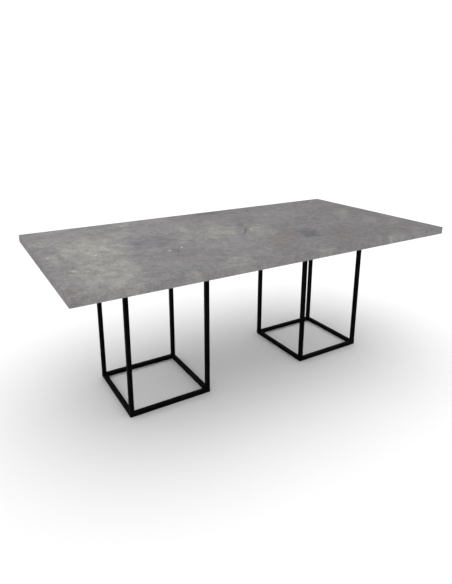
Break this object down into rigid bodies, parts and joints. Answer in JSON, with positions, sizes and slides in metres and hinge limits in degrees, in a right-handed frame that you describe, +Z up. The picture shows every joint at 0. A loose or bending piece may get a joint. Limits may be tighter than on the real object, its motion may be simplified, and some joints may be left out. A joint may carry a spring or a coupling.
{
  "type": "extendable dining table",
  "caption": "Rectangular extendable dining table: two concrete-look half tops on black cube frame bases slide apart for a folding leaf.",
  "frame": {"origin": "on the floor, under the middle of the closed table", "axes": "+X along the table, the way the right half pulls out; +Y across it, away from the side that is the front; +Z up"},
  "size_m": [2, 1, 0.75],
  "materials": {
    "concrete_laminate": "matt concrete-look laminate on chipboard, small soft stains",
    "black_powder_coat": "fine matt black powder coat on steel",
    "rail_aluminium": "mill-finish extrusion, satin",
    "zinc_steel": "bright zinc plated",
    "insert_brass": "turned brass",
    "guide_nylon": "natural nylon, smooth",
    "glide_plastic": "black moulded plastic",
    "black_rubber": "matt ribbed rubber",
    "beech": "fluted beech, unfinished"
  },
  "bodies": {
    "carriage": {"axle_clip": "zinc_steel", "back_slide_bar": "zinc_steel", "bar_tail_guides": "guide_nylon", "bracket_screws": "zinc_steel", "front_slide_bar": "zinc_steel", "leaf_dowel_bushes": "guide_nylon", "leaf_dowels": "beech", "leaf_edge_bands": "concrete_laminate", "leaf_hinge_pins": "zinc_steel", "leaf_hinge_plates": "zinc_steel", "leaf_hinge_screws": "zinc_steel", "leaf_lower_board": "concrete_laminate", "leaf_upper_board": "concrete_laminate", "pinion_axle": "zinc_steel", "pinion_bracket": "zinc_steel", "shelf_pads": "black_rubber", "shelf_straps": "black_powder_coat", "strap_fixings": "zinc_steel"},
    "left_half": {"left_back_channel": "rail_aluminium", "left_base_bolts": "zinc_steel", "left_corner_plates": "black_powder_coat", "left_dowels": "beech", "left_edge_bands": "concrete_laminate", "left_floor_frame": "black_powder_coat", "left_floor_glides": "glide_plastic", "left_front_channel": "rail_aluminium", "left_lock_pins": "zinc_steel", "left_mouth_guides": "guide_nylon", "left_posts": "black_powder_coat", "left_rack": "rail_aluminium", "left_rack_packer": "beech", "left_slide_stops": "zinc_steel", "left_threaded_inserts": "insert_brass", "left_top_frame": "black_powder_coat", "left_top_panel": "concrete_laminate", "left_wood_screws": "zinc_steel"},
    "right_half": {"right_back_channel": "rail_aluminium", "right_base_bolts": "zinc_steel", "right_corner_plates": "black_powder_coat", "right_dowel_bushes": "guide_nylon", "right_edge_bands": "concrete_laminate", "right_floor_frame": "black_powder_coat", "right_floor_glides": "glide_plastic", "right_front_channel": "rail_aluminium", "right_lock_pins": "zinc_steel", "right_mouth_guides": "guide_nylon", "right_posts": "black_powder_coat", "right_rack": "rail_aluminium", "right_rack_packer": "beech", "right_slide_stops": "zinc_steel", "right_threaded_inserts": "insert_brass", "right_top_frame": "black_powder_coat", "right_top_panel": "concrete_laminate", "right_wood_screws": "zinc_steel"},
    "sync_pinion": {"sync_pinion": "guide_nylon"},
    "front_lock": {"front_lock_hook": "zinc_steel"},
    "back_lock": {"back_lock_hook": "zinc_steel"}
  },
  "joints": [
    {"name": "left_slide", "type": "slide", "parent": "carriage", "child": "left_half", "axis": [-1, 0, 0], "range_m": [0, 0.25]},
    {"name": "right_slide", "type": "slide", "parent": "carriage", "child": "right_half", "axis": [1, 0, 0], "range_m": [0, 0.25]},
    {"name": "pinion_spin", "type": "hinge", "parent": "carriage", "child": "sync_pinion", "pos_m": [0, 0.36, 0.7], "axis": [0, 0, -1], "range_deg": [-5, 900]},
    {"name": "front_lock_swing", "type": "hinge", "parent": "left_half", "child": "front_lock", "pos_m": [-0.02, -0.447, 0.7065], "axis": [0, 0, -1], "range_deg": [0, 90]},
    {"name": "back_lock_swing", "type": "hinge", "parent": "left_half", "child": "back_lock", "pos_m": [-0.02, 0.447, 0.7065], "axis": [0, 0, 1], "range_deg": [0, 90]}
  ],
  "couplings": [
    {"joint": "right_slide", "follows": "left_slide", "ratio": 1},
    {"joint": "pinion_spin", "follows": "left_slide", "rad_per_m": 62.5}
  ]
}
